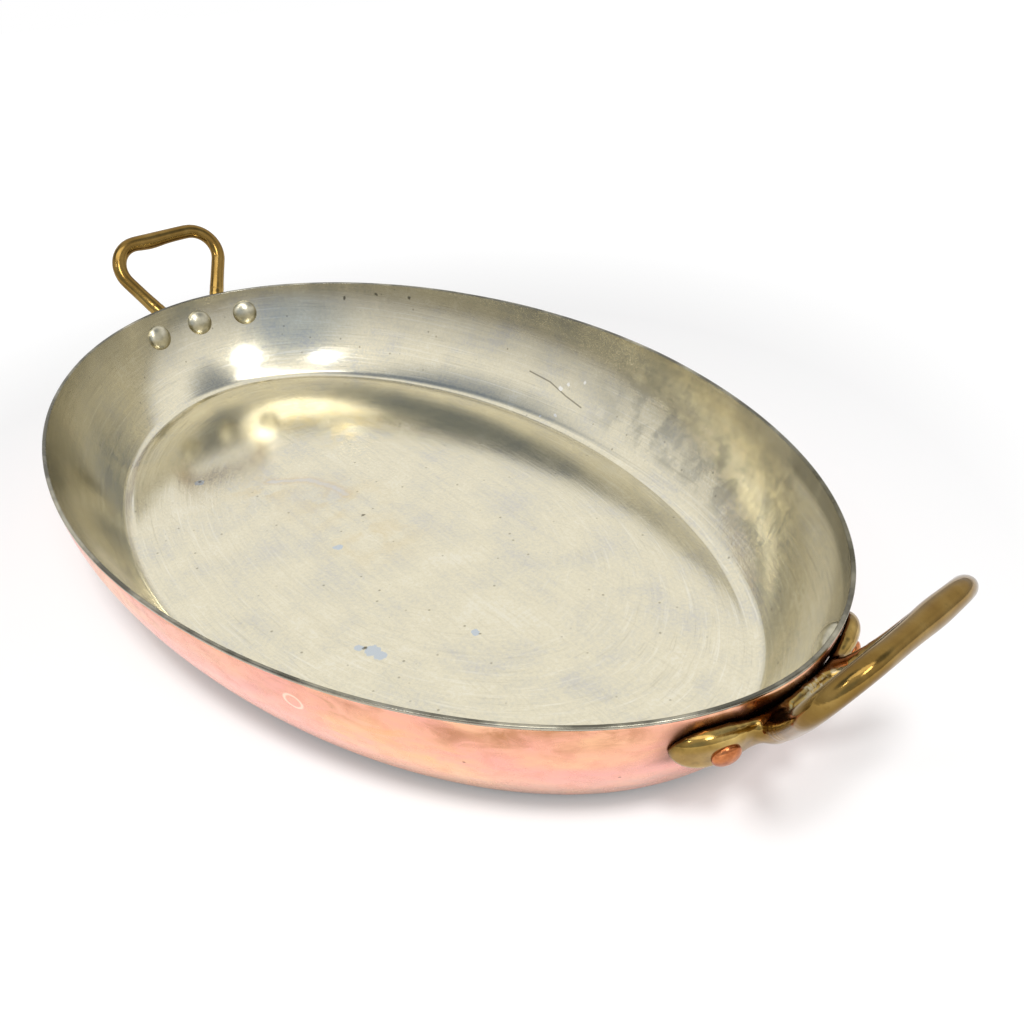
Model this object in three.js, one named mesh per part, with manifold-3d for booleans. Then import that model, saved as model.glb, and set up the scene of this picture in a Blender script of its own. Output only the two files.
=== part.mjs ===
// Oval copper gratin pan: tinned copper body, two cast brass loop handles, three rivets through each.
// Millimetres, +Z up, X along the oval's length, origin under the middle of the flat base.
import * as THREE from "three";
import { mergeVertices } from "three/addons/utils/BufferGeometryUtils.js";
import Module from "manifold-3d";

const wasm = await Module();
wasm.setup();

// Pan body. The oval is a superellipse, and an exponent of 2 would make it a true ellipse.
const rimHalfLength = 175;
const rimHalfWidth = 109;
const ovalExponent = 1.94;
const panHeight = 43;
const floorInset = 22.8;
const bendRadius = 8;
const bendTurnDegrees = 50;
const copperThickness = 1;
const tinThickness = 0.3;
const rimBevel = 0.3;

// Rivets, in a row below the rim, with a domed head inside the pan and a peened head on the handle's foot.
const rivetDrop = 11.5;
const rivetPitch = 22.4;
const shankRadius = 3;
const innerHeadRadius = 5.8;
const innerHeadHeight = 2.9;
const outerHeadRadius = 3.7;
const outerHeadHeight = 2.1;

// Handle foot, a bar that hugs the outside of the wall and reaches past the rivet heads by its margins.
const footEndMargin = 11.1;
const footEdgeMargin = 2.7;
const footRise = 0.4;
const footThickness = 4.4;
const footEdgeRadius = 2.9;
const footEndLength = 8;
const footEndShare = 0.3;
const neckAcross = 15;
const neckLength = 4.5;
const neckShare = 0.16;

// Handle loop, a flattish bar in a leaning plane: legs root between rivets, spread, and join in a grip.
const loopTiltDegrees = 62.8;
const loopRootRise = 2.4;
const legSpreadDegrees = 26;
const gripReach = 40.4;
const loopCornerRadius = 11.5;
const barRadius = 3.3;
const barFlatness = 0.83;
const rootDepth = 2.5;
const rootFlare = 1.7;
const rootTuck = 1.6;
const rootBlendLength = 10;
const gripSwell = 0.9;
const gripSwellLength = 7;
const gripSwellShift = 6;

// Fits between pieces.
const seatGap = 0.3;
const holeClearance = 0.3;

// Facets.
const ovalSegments = 72;
const bendSteps = 6;
const wallSteps = 6;
const footSteps = 24;
const cornerSteps = 4;
const loopSteps = 56;
const barSides = 14;
const rivetSides = 20;
const domeSteps = 4;

// Worked out from the sizes above.
const wallThickness = copperThickness + tinThickness;
const bendTurn = THREE.MathUtils.degToRad(bendTurnDegrees);
const wallRun = floorInset - bendRadius * Math.sin(bendTurn);
const wallRise = panHeight - bendRadius * (1 - Math.cos(bendTurn));
const wallTurn = 2 * (Math.atan2(wallRise, wallRun) - bendTurn);
const wallRadius = Math.hypot(wallRun, wallRise) / (2 * Math.sin(wallTurn / 2));
const centreInset = floorInset + (wallRadius - bendRadius) * Math.sin(bendTurn);
const centreHeight = bendRadius + (wallRadius - bendRadius) * Math.cos(bendTurn);
const rivetHeight = panHeight - rivetDrop;
const rivetInset = wallInset(0, rivetHeight);
const lean = Math.asin((centreHeight - rivetHeight) / wallRadius);
const rivetHalfWidth = rimHalfWidth - rivetInset;
const footHalfSpan = rivetPitch + footEndMargin;
const footHalfHeight = outerHeadRadius + footEdgeMargin;
const legRootHalfSpan = rivetPitch / 2;

// Copper, tin and brass as they look in daylight.
const copper = { color: 0xd98e6c, roughness: 0.3, metalness: 1 };
const tin = { color: 0xc4bfa8, roughness: 0.4, metalness: 1 };
const brass = { color: 0xb28f3f, roughness: 0.28, metalness: 1 };
const rivetCopper = { color: 0xb56a43, roughness: 0.32, metalness: 1 };

// A closed three.js geometry as a solid that can be joined and cut.
function toSolid(geometry) {
  geometry.deleteAttribute("normal");
  geometry.deleteAttribute("uv");
  const merged = mergeVertices(geometry);
  const mesh = new wasm.Mesh({
    numProp: 3,
    vertProperties: new Float32Array(merged.attributes.position.array),
    triVerts: new Uint32Array(merged.index.array),
  });
  return new wasm.Manifold(mesh);
}

function toMesh(name, solid, finish) {
  const data = solid.getMesh();
  const geometry = new THREE.BufferGeometry();
  geometry.setAttribute("position", new THREE.BufferAttribute(data.vertProperties, 3));
  geometry.setIndex(new THREE.BufferAttribute(data.triVerts, 1));
  geometry.computeVertexNormals();
  const mesh = new THREE.Mesh(geometry, new THREE.MeshStandardMaterial(finish));
  mesh.name = name;
  return mesh;
}

// Moves every vertex of a geometry to where place(point) puts it.
function reshape(geometry, place) {
  const position = geometry.attributes.position;
  const point = new THREE.Vector3();
  for (let i = 0; i < position.count; i += 1) {
    point.fromBufferAttribute(position, i);
    const moved = place(point);
    position.setXYZ(i, moved.x, moved.y, moved.z);
  }
  return geometry;
}

function signedPower(value, power) {
  return Math.sign(value) * Math.abs(value) ** power;
}

// A point of the oval drawn in from the rim by inset; inside the floor's edge it shrinks to the middle.
function ovalPoint(angle, inset, height) {
  const ringInset = Math.min(inset, floorInset);
  const share = (rimHalfLength - inset) / (rimHalfLength - ringInset);
  const along = signedPower(Math.cos(angle), 2 / ovalExponent);
  const across = signedPower(Math.sin(angle), 2 / ovalExponent);
  return new THREE.Vector3(
    share * (rimHalfLength - ringInset) * along,
    share * (rimHalfWidth - ringInset) * across,
    height,
  );
}

// A point near the wall by a handle: across the pan, up the slope from the rivet row, and out from the wall.
function onWall(across, up, out) {
  const share = THREE.MathUtils.clamp(across / rivetHalfWidth, -1, 1);
  const angle = Math.asin(signedPower(share, ovalExponent / 2));
  const inset = rivetInset - up * Math.sin(lean) - out * Math.cos(lean);
  return ovalPoint(angle, inset, rivetHeight + up * Math.cos(lean) - out * Math.sin(lean));
}

// The wall's section at a depth below its outer face, from the floor's edge to a height on the wall.
function sectionAt(depth, topHeight) {
  const points = [];
  const radius = bendRadius - depth;
  for (let step = 0; step <= bendSteps; step += 1) {
    const turn = (bendTurn * step) / bendSteps;
    points.push([floorInset - radius * Math.sin(turn), bendRadius - radius * Math.cos(turn)]);
  }
  const bendTop = points[bendSteps][1];
  for (let step = 1; step <= wallSteps; step += 1) {
    const height = bendTop + ((topHeight - bendTop) * step) / wallSteps;
    points.push([wallInset(depth, height), height]);
  }
  return points;
}

// How far in from the rim the wall is at a height: a slow curve that runs on from the bend to the rim.
function wallInset(depth, height) {
  return centreInset - Math.sqrt((wallRadius - depth) ** 2 - (centreHeight - height) ** 2);
}

// An oval body from a section of [inset, height] points that runs from the axis round to the axis.
function ovalSolid(section) {
  const profile = section.map(([inset, height]) => new THREE.Vector2(rimHalfLength - inset, height));
  profile.unshift(new THREE.Vector2(0, profile[0].y));
  profile.push(new THREE.Vector2(0, profile[profile.length - 1].y));
  const geometry = new THREE.LatheGeometry(profile, ovalSegments);
  geometry.rotateX(Math.PI / 2);
  reshape(geometry, (point) => {
    const radius = Math.hypot(point.x, point.y);
    return ovalPoint(Math.atan2(point.y, point.x), rimHalfLength - radius, point.z);
  });
  return toSolid(geometry);
}

function makeShell() {
  const copperTop = panHeight - tinThickness;
  const outside = sectionAt(0, copperTop);
  const inside = sectionAt(copperThickness, copperTop);
  return ovalSolid([...outside, ...inside.reverse()]);
}

// The tin covers the inside and turns over the rim's top edge. It starts within the copper, which trims it.
function makeLining(shell) {
  const copperTop = panHeight - tinThickness;
  const within = sectionAt(copperThickness / 2, copperTop - copperThickness);
  const overRim = [
    [wallInset(0, copperTop), copperTop],
    [wallInset(rimBevel, panHeight), panHeight],
    [wallInset(wallThickness - rimBevel, panHeight), panHeight],
  ];
  const face = sectionAt(wallThickness, panHeight - rimBevel);
  return ovalSolid([...within, ...overRim, ...face.reverse()]).subtract(shell);
}

// The wall grown by the seat gap on both faces, which trims whatever sits against it.
function makeWallClearance() {
  const outside = sectionAt(-seatGap, panHeight);
  const inside = sectionAt(wallThickness + seatGap, panHeight);
  return ovalSolid([...outside, ...inside.reverse()]);
}

// Stands a shape made along +Z on the wall at a rivet's place, with +Z into the pan.
function atRivet(geometry, across) {
  const origin = onWall(across, 0, 0);
  const nearby = 0.1;
  const sideways = onWall(across + nearby, 0, 0).sub(onWall(across - nearby, 0, 0));
  const upwards = onWall(across, nearby, 0).sub(origin);
  const inward = upwards.cross(sideways).normalize();
  const turn = new THREE.Quaternion().setFromUnitVectors(new THREE.Vector3(0, 0, 1), inward);
  return geometry.applyQuaternion(turn).translate(origin.x, origin.y, origin.z);
}

// A domed head on the Z axis, from its flat seat to its top, which may point either way.
function domedHead(radius, seat, height) {
  const profile = [new THREE.Vector2(0, seat)];
  for (let step = 0; step <= domeSteps; step += 1) {
    const turn = (Math.PI / 2) * (step / domeSteps);
    profile.push(new THREE.Vector2(radius * Math.cos(turn), seat + height * Math.sin(turn)));
  }
  const upwards = height > 0 ? profile : profile.reverse();
  return new THREE.LatheGeometry(upwards, rivetSides).rotateX(Math.PI / 2);
}

function bar(radius, from, to) {
  const length = to - from;
  const geometry = new THREE.CylinderGeometry(radius, radius, length, rivetSides);
  return geometry.rotateX(Math.PI / 2).translate(0, 0, from + length / 2);
}

function makeRivet(across, wallClearance) {
  const innerSeat = wallThickness / 2;
  const innerTop = wallThickness + seatGap + innerHeadHeight;
  const outerSeat = -(footThickness + seatGap);
  const innerHead = domedHead(innerHeadRadius, innerSeat, innerTop - innerSeat);
  const outerHead = domedHead(outerHeadRadius, outerSeat, -outerHeadHeight);
  const shank = bar(shankRadius, outerSeat - outerHeadHeight / 2, wallThickness + innerHeadHeight / 2);
  return toSolid(atRivet(innerHead, across))
    .subtract(wallClearance)
    .add(toSolid(atRivet(shank, across)))
    .add(toSolid(atRivet(outerHead, across)));
}

function makeRivetHole(across, endTurn) {
  const reach = footThickness + outerHeadHeight;
  const drill = atRivet(bar(shankRadius + holeClearance, -reach, reach), across);
  return toSolid(drill.rotateZ(endTurn));
}

// The foot: a bar with a flat back and rounded outer edges, its ends drawn in, bent along the wall.
function makeFoot() {
  const half = footHalfHeight;
  const backOut = -wallThickness / 2;
  const edgeOut = footThickness - footEdgeRadius;
  const section = new THREE.Shape();
  section.moveTo(-half, backOut);
  section.lineTo(half, backOut);
  section.absarc(half - footEdgeRadius, edgeOut, footEdgeRadius, 0, Math.PI / 2);
  section.absarc(footEdgeRadius - half, edgeOut, footEdgeRadius, Math.PI / 2, Math.PI);
  const geometry = new THREE.ExtrudeGeometry(section, {
    depth: 2,
    steps: footSteps,
    curveSegments: cornerSteps,
    bevelEnabled: false,
  });
  reshape(geometry, (point) => {
    const across = footHalfSpan * Math.sin((point.z - 1) * (Math.PI / 2));
    const pastShoulder = Math.max(0, Math.abs(across) - (footHalfSpan - footEndLength)) / footEndLength;
    const neck = 1 - neckShare * Math.exp(-(((Math.abs(across) - neckAcross) / neckLength) ** 2));
    const share = neck * Math.max(footEndShare, Math.sqrt(1 - Math.min(1, pastShoulder) ** 2));
    const out = point.y > 0 ? point.y * share : point.y;
    return onWall(across, footRise + point.x * share, out);
  });
  return toSolid(geometry);
}

// The loop's centre line in its own plane: x across the pan, y from the root to the grip.
function makeLoopPath() {
  const spread = THREE.MathUtils.degToRad(legSpreadDegrees);
  const centreReach = gripReach - loopCornerRadius;
  const legOffset = legRootHalfSpan + centreReach * Math.tan(spread);
  const centreAcross = legOffset - loopCornerRadius / Math.cos(spread);
  const rootAcross = legRootHalfSpan - rootDepth * Math.tan(spread);
  const legTopAcross = centreAcross + loopCornerRadius * Math.cos(spread);
  const legTopReach = centreReach - loopCornerRadius * Math.sin(spread);
  const path = new THREE.Path();
  path.moveTo(-rootAcross, -rootDepth);
  path.lineTo(-legTopAcross, legTopReach);
  path.absarc(-centreAcross, centreReach, loopCornerRadius, Math.PI + spread, Math.PI / 2, true);
  path.absarc(centreAcross, centreReach, loopCornerRadius, Math.PI / 2, -spread, true);
  path.lineTo(rootAcross, -rootDepth);
  return path;
}

// The loop: a flat bar along its path, flared and tucked to the wall at its roots, its grip swollen inside.
function makeLoop() {
  const path = makeLoopPath();
  const length = path.getLength();
  const tilt = THREE.MathUtils.degToRad(loopTiltDegrees);
  const root = onWall(0, loopRootRise, footThickness);
  const across = new THREE.Vector3(0, 1, 0);
  const rising = new THREE.Vector3(Math.cos(tilt), 0, Math.sin(tilt));
  const outward = new THREE.Vector3().crossVectors(across, rising);
  const geometry = new THREE.CylinderGeometry(1, 1, 1, barSides, loopSteps);
  reshape(geometry, (point) => {
    const share = THREE.MathUtils.clamp(point.y + 1 / 2, 0, 1);
    const centre = path.getPointAt(share);
    const heading = path.getTangentAt(share);
    const fromRoot = Math.min(share, 1 - share) * length;
    const fromMiddle = (share - 1 / 2) * length - gripSwellShift;
    const blend = Math.exp(-((fromRoot / rootBlendLength) ** 2));
    const swell = gripSwell * Math.exp(-((fromMiddle / gripSwellLength) ** 2)) * Math.max(0, point.x);
    const radius = barRadius + rootFlare * blend + swell;
    const sideways = centre.x + heading.y * point.x * radius;
    const upwards = centre.y - heading.x * point.x * radius;
    return root
      .clone()
      .addScaledVector(across, sideways)
      .addScaledVector(rising, upwards)
      .addScaledVector(outward, point.z * radius * barFlatness - rootTuck * blend);
  });
  return toSolid(geometry);
}

const wallClearance = makeWallClearance();
const rivetPlaces = { left: -rivetPitch, middle: 0, right: rivetPitch };
const holes = Object.values(rivetPlaces).map((across) => makeRivetHole(across, 0));
const farHoles = Object.values(rivetPlaces).map((across) => makeRivetHole(across, Math.PI));
const holesBothEnds = [...holes, ...farHoles];

function drilled(solid, cutters) {
  return cutters.reduce((body, cutter) => body.subtract(cutter), solid);
}

// One end of the pan, at +X: the handle and its three rivets.
function makeEnd(end) {
  const group = new THREE.Group();
  const handle = makeFoot().add(makeLoop()).subtract(wallClearance);
  group.add(toMesh(`${end}_handle`, drilled(handle, holes), brass));
  for (const [place, across] of Object.entries(rivetPlaces)) {
    group.add(toMesh(`${end}_rivet_${place}`, makeRivet(across, wallClearance), rivetCopper));
  }
  return group;
}

const pan = new THREE.Group();
pan.name = "oval_copper_pan";
const shell = makeShell();
pan.add(toMesh("copper_body", drilled(shell, holesBothEnds), copper));
pan.add(toMesh("tin_lining", drilled(makeLining(shell), holesBothEnds), tin));
pan.add(makeEnd("near"));
const farEnd = makeEnd("far");
farEnd.rotation.z = Math.PI;
pan.add(farEnd);

export default pan;
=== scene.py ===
import math

import bmesh
import bpy
from mathutils import Matrix, Vector, noise


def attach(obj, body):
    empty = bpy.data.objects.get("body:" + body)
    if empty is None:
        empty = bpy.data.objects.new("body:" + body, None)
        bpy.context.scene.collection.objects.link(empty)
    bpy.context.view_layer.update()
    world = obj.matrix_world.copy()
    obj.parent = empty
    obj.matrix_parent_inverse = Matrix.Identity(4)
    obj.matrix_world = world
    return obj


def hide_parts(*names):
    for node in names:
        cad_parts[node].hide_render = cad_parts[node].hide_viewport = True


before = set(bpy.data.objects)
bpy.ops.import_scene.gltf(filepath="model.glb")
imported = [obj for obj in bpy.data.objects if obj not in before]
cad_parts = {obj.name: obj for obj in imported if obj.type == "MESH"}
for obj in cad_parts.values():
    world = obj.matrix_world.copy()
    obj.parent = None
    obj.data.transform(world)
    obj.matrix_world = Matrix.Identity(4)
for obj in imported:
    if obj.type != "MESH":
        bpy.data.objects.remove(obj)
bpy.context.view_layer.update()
scene = bpy.context.scene
scene.view_settings.view_transform = "Standard"
mm = 0.001
print("frame loaded, nodes:", len(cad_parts))


def hexColor(text):
    # sRGB hex to the linear numbers that sockets take
    parts = [int(text[i:i + 2], 16) / 255 for i in (1, 3, 5)]
    return tuple(p / 12.92 if p <= 0.04045 else ((p + 0.055) / 1.055) ** 2.4 for p in parts) + (1.0,)


def addNode(tree, kind, settings=None, links=None):
    # a setting is one of the node's own properties, the stops of its ramp, or else the value of a socket
    node = tree.nodes.new("ShaderNode" + kind)
    for key, value in (settings or {}).items():
        if key == "stops":
            ramp = node.color_ramp
            while len(ramp.elements) < len(value):
                ramp.elements.new(0.5)
            for element, (place, color) in zip(ramp.elements, value):
                element.position = place
                element.color = hexColor(color)
        elif isinstance(key, str) and hasattr(node, key):
            setattr(node, key, value)
        else:
            node.inputs[key].default_value = value
    for key, source in (links or {}).items():
        socket = source.outputs[0] if isinstance(source, bpy.types.Node) else source
        tree.links.new(socket, node.inputs[key])
    return node


def newMaterial(name, metallic):
    made = bpy.data.materials.new(name)
    made.use_nodes = True
    tree = made.node_tree
    shader = tree.nodes["Principled BSDF"]
    shader.inputs["Metallic"].default_value = metallic
    place = addNode(tree, "TexCoord").outputs["Object"]
    return made, tree, shader, place


# The pan in millimetres, as the frame has it. Its oval is a little leaner than an ellipse, which has 2.
pan = {
    "halfLength": 175.0,
    "halfWidth": 109.0,
    "fullness": 1.94,
    "height": 43.0,
    "floorInset": 22.8,  # rim to the floor's edge, seen from above
    "floorShift": -1.6,  # the floor was not raised quite in the middle
    "bendRadius": 8.0,
    "bendTurn": 50.0,  # degrees turned in the tight bend, the wall's slow curve does the rest
    "copper": 1.0,
    "tin": 0.3,
    "ringPoints": 320,
    "bendSteps": 16,
    "wallSteps": 24,
    "floorSteps": 30,
    "undersideSteps": 12,
    "joinSteps": (3, 8, 12),  # floor, bend and wall where tin lies on copper
    "unevenness": 0.22,  # how far hand work wanders from the true oval
    "unevennessUp": 0.6,  # the share of it that goes up and down
    "unevennessLength": 60.0,
    "wanderSeed": 4,  # the same wander each run
    "ripple": 0.10,  # shallow waves left in the floor by the planishing
    "rippleLength": 34.0,
}
bendTurn = math.radians(pan["bendTurn"])
wallThickness = pan["copper"] + pan["tin"]
copperTop = pan["height"] - pan["tin"]
# the wall's curve runs on from the bend to the rim
wallRun = pan["floorInset"] - pan["bendRadius"] * math.sin(bendTurn)
wallRise = pan["height"] - pan["bendRadius"] * (1 - math.cos(bendTurn))
wallTurn = 2 * (math.atan2(wallRise, wallRun) - bendTurn)
wallRadius = math.hypot(wallRun, wallRise) / (2 * math.sin(wallTurn / 2))
centreInset = pan["floorInset"] + (wallRadius - pan["bendRadius"]) * math.sin(bendTurn)
centreHeight = pan["bendRadius"] + (wallRadius - pan["bendRadius"]) * math.cos(bendTurn)


def between(value, low, high):
    return max(low, min(high, value))


def signedPower(value, power):
    return math.copysign(abs(value) ** power, value)


def ringSize(inset):
    # half length and half width of the oval drawn in by inset; inside the floor's edge it just shrinks
    edge = min(inset, pan["floorInset"])
    share = (pan["halfLength"] - inset) / (pan["halfLength"] - edge)
    return share * (pan["halfLength"] - edge), share * (pan["halfWidth"] - edge)


def wallInset(depth, height):
    return centreInset - math.sqrt((wallRadius - depth) ** 2 - (centreHeight - height) ** 2)


def bendSection(depth, steps):
    edge, centre = pan["floorInset"], pan["bendRadius"]
    radius = centre - depth
    turns = [bendTurn * i / steps for i in range(steps + 1)]
    return [(edge - radius * math.sin(t), centre - radius * math.cos(t)) for t in turns]


def floorSection(height, steps):
    # from just beside the middle out to the floor's edge
    reach = pan["halfLength"] - pan["floorInset"]
    return [(pan["halfLength"] - reach * i / steps, height) for i in range(1, steps)]


def wallSection(depth, top, steps):
    bottom = bendSection(depth, 1)[-1][1]
    heights = [bottom + (top - bottom) * i / steps for i in range(1, steps + 1)]
    return [(wallInset(depth, z), z) for z in heights]


def joinSection():
    # the face where tin lies on copper, which nobody sees, from the middle up
    depth = pan["copper"]
    floorSteps, bendSteps, wallSteps = pan["joinSteps"]
    section = floorSection(depth, floorSteps) + bendSection(depth, bendSteps)
    return section + wallSection(depth, copperTop, wallSteps)


def ovalShell(section):
    # one oval ring, extruded and scaled along the section, with both ends closed on the axis
    bm = bmesh.new()
    bmesh.ops.create_circle(bm, segments=pan["ringPoints"], radius=1.0)
    for vert in bm.verts:
        vert.co.x = signedPower(vert.co.x, 2 / pan["fullness"])
        vert.co.y = signedPower(vert.co.y, 2 / pan["fullness"])
    length, width, place = 1.0, 1.0, Vector()
    verts, edges = bm.verts[:], bm.edges[:]
    first = verts
    for step, (inset, level) in enumerate(section):
        if step:
            made = bmesh.ops.extrude_edge_only(bm, edges=edges)["geom"]
            verts = [g for g in made if isinstance(g, bmesh.types.BMVert)]
            edges = [g for g in made if isinstance(g, bmesh.types.BMEdge)]
        newLength, newWidth = ringSize(inset)
        newPlace = Vector((0.0, pan["floorShift"] * (1 - level / pan["height"]), level))
        toMiddle = Matrix.Translation(-place)
        bmesh.ops.scale(bm, vec=(newLength / length, newWidth / width, 1.0), verts=verts, space=toMiddle)
        bmesh.ops.translate(bm, vec=newPlace - place, verts=verts)
        length, width, place = newLength, newWidth, newPlace
    for ring, level in ((first, section[0][1]), (verts, section[-1][1])):
        bmesh.ops.pointmerge(bm, verts=ring, merge_co=(0.0, pan["floorShift"], level))
    bmesh.ops.recalc_face_normals(bm, faces=bm.faces)
    return bm


def handWork(bm):
    # slow wander of a hand-raised pan, the same for copper and tin, none where it stands on the floor
    noise.seed_set(pan["wanderSeed"])
    for vert in bm.verts:
        drift = noise.noise_vector(vert.co / pan["unevennessLength"]) * pan["unevenness"]
        waves = noise.noise(vert.co / pan["rippleLength"]) * pan["ripple"]
        drift.z = drift.z * pan["unevennessUp"] + waves
        drift.z *= min(1.0, vert.co.z)
        vert.co += drift


def wallX(y, z):
    # how far out the copper's face is at this place beside the pan, on the +X side
    inset = wallInset(0.0, min(z, pan["height"]))
    share = min(1.0, abs(y) / (pan["halfWidth"] - inset))
    return (pan["halfLength"] - inset) * (1 - share ** pan["fullness"]) ** (1 / pan["fullness"])


def addPiece(bm, name, materials, nodeName):
    bmesh.ops.scale(bm, vec=(mm, mm, mm), verts=bm.verts)
    mesh = bpy.data.meshes.new(name)
    bm.to_mesh(mesh)
    bm.free()
    for material in materials:
        mesh.materials.append(material)
    mesh.shade_smooth()
    piece = bpy.data.objects.new(name, mesh)
    scene.collection.objects.link(piece)
    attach(piece, "root")
    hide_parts(nodeName)
    print(name, len(mesh.polygons), "faces")
    return piece


# In the materials, sockets 1 and 2 of a Map Range are where it starts and ends, 3 and 4 what it gives there.
rugged = 0.58  # how strong the finer waves of a noise are


def spotMask(tree, place, spots, core):
    # round marks, each x, y, z and radius in millimetres; core is the share of the radius before it fades
    mask = None
    for x, y, z, radius in spots:
        middle = (x * mm, y * mm, z * mm)
        away = addNode(tree, "VectorMath", {"operation": "DISTANCE", 1: middle}, {0: place}).outputs["Value"]
        spot = addNode(tree, "MapRange", {1: radius * core * mm, 2: radius * mm, 3: 1.0, 4: 0.0}, {0: away})
        if mask is None:
            mask = spot
        else:
            mask = addNode(tree, "Math", {"operation": "MAXIMUM"}, {0: mask, 1: spot})
    return mask


def lineMask(tree, place, points, halfWidth):
    # a mark drawn along a few points, in millimetres
    core = halfWidth * 0.4  # it fades from here out
    mask = None
    for start, end in zip(points, points[1:]):
        start, end = Vector(start) * mm, Vector(end) * mm
        run = end - start
        off = addNode(tree, "VectorMath", {"operation": "SUBTRACT", 1: start}, {0: place})
        dot = addNode(tree, "VectorMath", {"operation": "DOT_PRODUCT", 1: run}, {0: off}).outputs["Value"]
        share = addNode(tree, "MapRange", {1: 0.0, 2: run.dot(run)}, {0: dot})
        foot = addNode(tree, "VectorMath", {"operation": "SCALE", 0: run}, {"Scale": share})
        away = addNode(tree, "VectorMath", {"operation": "DISTANCE"}, {0: off, 1: foot}).outputs["Value"]
        stretch = addNode(tree, "MapRange", {1: core * mm, 2: halfWidth * mm, 3: 1.0, 4: 0.0}, {0: away})
        if mask is None:
            mask = stretch
        else:
            mask = addNode(tree, "Math", {"operation": "MAXIMUM"}, {0: mask, 1: stretch})
    return mask


def tint(tree, color, hexText, masks, amount=1.0):
    # lays a color over another, where all the masks say
    share = masks[0]
    for mask in masks[1:]:
        share = addNode(tree, "Math", {"operation": "MULTIPLY"}, {0: share, 1: mask})
    share = addNode(tree, "Math", {"operation": "MULTIPLY", 1: amount, "use_clamp": True}, {0: share})
    return addNode(tree, "Mix", {"data_type": "RGBA", 7: hexColor(hexText)}, {0: share, 6: color}).outputs[2]


def layMarks(tree, color, marks, place, torn, height, clouds):
    # marks one over another: spots or a line, some with torn edges, some only in clouds or between heights
    for mark in marks:
        masks = []
        where = torn if mark.get("torn") else place
        if "spots" in mark:
            masks.append(spotMask(tree, where, mark["spots"], mark["core"]))
        if "line" in mark:
            masks.append(lineMask(tree, where, mark["line"], mark["halfWidth"]))
        if "clouds" in mark:
            start, end = mark["clouds"]
            masks.append(addNode(tree, "MapRange", {1: start, 2: end}, {0: clouds}))
        if "heights" in mark:
            start, end = mark["heights"]
            masks.append(addNode(tree, "MapRange", {1: start * mm, 2: end * mm}, {0: height}))
        color = tint(tree, color, mark["color"], masks, mark["amount"])
    return color


# Polished copper: rolled sheet rubbed bright by hand, so it mirrors softly and its colour drifts in patches
copperFinish = {
    "patchSize": 42.0,  # patches salmon to yellow, in millimetres, drawn out round the pan
    "patchStretch": 2.2,
    "patchColors": [(0.32, "#F4ACA3"), (0.44, "#F8B4A0"), (0.54, "#FABA9B"), (0.64, "#FDC69C"),
                    (0.74, "#F5C0B5")],
    "mottleSize": 5.0,
    "mottleColor": "#E8A48A",
    "smearSize": 13.0,
    "roughness": (0.20, 0.32),
    # spots are x, y, z, radius
    "marks": [
        # a yellow-orange painted highlight on the front of the wall
        {"color": "#FFC58E", "amount": 1.0, "clouds": (0.38, 0.6), "core": 0.1,
         "spots": [(119, -76, 28, 15), (127, -70, 24, 13), (104, -84, 27, 12)]},
        {"color": "#FBB3A4", "amount": 0.6, "core": 0.1, "spots": [(58, -98, 24, 34), (86, -90, 18, 24)]},
        # greyer pink low down by the near handle, a painted reflection of the shaded floor
        {"color": "#E2AE9E", "amount": 0.8, "clouds": (0.35, 0.6), "core": 0.1,
         "spots": [(157, -36, 14, 20), (140, -54, 8, 14)]},
        # brown tarnish under the rim, left where the polishing cloth stops
        {"color": "#B98158", "amount": 0.5, "clouds": (0.48, 0.68), "heights": (26, 43)},
        {"color": "#B07A4E", "amount": 0.75, "clouds": (0.36, 0.6), "core": 0.0,
         "spots": [(132, -69, 39, 9), (141, -62, 40, 10), (150, -53, 40, 9), (158, -44, 41, 8),
                   (107, -84, 40, 8)]},
    ],
    "ring": (94.7, -89.2, 33.7, 2.6),  # one thin pale ring drawn on the copper
    "ringColor": "#FFE6CF",
    "pitSpacing": 9.0,  # dark pits under a millimetre wide
    "pitColor": "#7A4A33",
    # painted contact shade along the bottom edge, heights in millimetres
    "bottomShadeHeights": (2.0, 6.0),
    "bottomShadeColor": "#4A2F24",
    # painted shade round and behind the handles' feet
    "paintedShadeColor": "#4A2C1A",
}


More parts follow.
